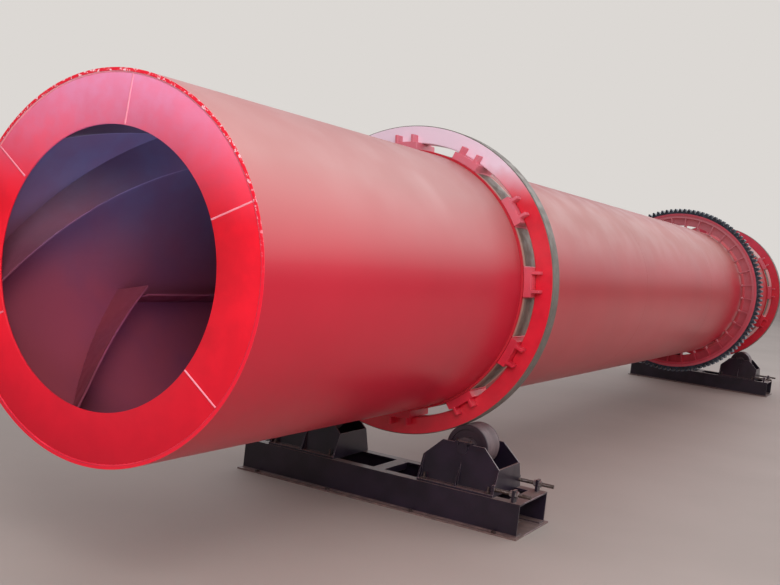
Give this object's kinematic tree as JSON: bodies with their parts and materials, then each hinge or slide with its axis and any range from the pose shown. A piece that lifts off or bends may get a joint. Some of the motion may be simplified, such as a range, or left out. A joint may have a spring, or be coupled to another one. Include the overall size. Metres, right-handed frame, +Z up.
{
  "type": "rotary drum dryer",
  "caption": "Long horizontal steel dryer drum with riding rings and a ring gear, turning on trunnion rollers in two low floor stations.",
  "frame": {"origin": "on the floor under the middle of the drum, at the centre of the bounding box's base", "axes": "+X along the drum from the feed end to the discharge end, +Z up, -Y to the side seen in the picture"},
  "size_m": [13.85, 2.088, 2.438],
  "materials": {
    "shell_red": "gloss red enamel",
    "end_red": "fresh bright red enamel",
    "inside_maroon": "matt maroon primer",
    "tyre_steel": "red enamel on the flat faces, bare machined running face",
    "bracket_red": "red enamel",
    "gear_black": "dark oiled steel",
    "roller_steel": "black paint with a bright worn rim",
    "bright_steel": "oiled steel",
    "frame_black": "gloss black enamel"
  },
  "bodies": {
    "stations": {"feed_near_beam": "frame_black", "feed_far_beam": "frame_black", "feed_cross_member": "frame_black", "feed_end_ties": "frame_black", "feed_left_roller_box": "frame_black", "feed_right_roller_box": "frame_black", "feed_roller_axles": "bright_steel", "feed_adjusting_screws": "bright_steel", "discharge_near_beam": "frame_black", "discharge_far_beam": "frame_black", "discharge_cross_member": "frame_black", "discharge_end_ties": "frame_black", "discharge_left_roller_box": "frame_black", "discharge_right_roller_box": "frame_black", "discharge_roller_axles": "bright_steel", "discharge_adjusting_screws": "bright_steel"},
    "drum": {"shell_course_1": "shell_red", "shell_course_2": "shell_red", "shell_course_3": "shell_red", "shell_course_4": "shell_red", "shell_course_5": "shell_red", "feed_end_plate": "end_red", "discharge_end_plate": "end_red", "feed_spiral_flights": "inside_maroon", "lifting_flights_row_1": "inside_maroon", "lifting_flights_row_2": "inside_maroon", "lifting_flights_row_3": "inside_maroon", "lifting_flights_row_4": "inside_maroon", "lifting_flights_row_5": "inside_maroon", "feed_wear_band": "shell_red", "feed_tyre_chairs": "bracket_red", "feed_tyre": "tyre_steel", "discharge_wear_band": "shell_red", "discharge_tyre_chairs": "bracket_red", "discharge_tyre": "tyre_steel", "gear_carrier": "bracket_red", "ring_gear": "gear_black"},
    "feed_left_roller_body": {"feed_left_roller": "roller_steel"},
    "feed_right_roller_body": {"feed_right_roller": "roller_steel"},
    "discharge_left_roller_body": {"discharge_left_roller": "roller_steel"},
    "discharge_right_roller_body": {"discharge_right_roller": "roller_steel"}
  },
  "joints": [
    {"name": "drum_spin", "type": "hinge", "parent": "stations", "child": "drum", "pos_m": [0, 0, 1.39422], "axis": [1, 0, 0], "continuous": true},
    {"name": "feed_left_roller_spin", "type": "hinge", "parent": "stations", "child": "feed_left_roller_body", "pos_m": [-4.183, 0.55265, 0.437], "axis": [1, 0, 0], "continuous": true},
    {"name": "feed_right_roller_spin", "type": "hinge", "parent": "stations", "child": "feed_right_roller_body", "pos_m": [-4.183, -0.55265, 0.437], "axis": [1, 0, 0], "continuous": true},
    {"name": "discharge_left_roller_spin", "type": "hinge", "parent": "stations", "child": "discharge_left_roller_body", "pos_m": [5.571, 0.55265, 0.437], "axis": [1, 0, 0], "continuous": true},
    {"name": "discharge_right_roller_spin", "type": "hinge", "parent": "stations", "child": "discharge_right_roller_body", "pos_m": [5.571, -0.55265, 0.437], "axis": [1, 0, 0], "continuous": true}
  ],
  "couplings": [
    {"joint": "feed_left_roller_spin", "follows": "drum_spin", "ratio": -7.1852},
    {"joint": "feed_right_roller_spin", "follows": "drum_spin", "ratio": -7.1852},
    {"joint": "discharge_left_roller_spin", "follows": "drum_spin", "ratio": -7.1852},
    {"joint": "discharge_right_roller_spin", "follows": "drum_spin", "ratio": -7.1852}
  ]
}
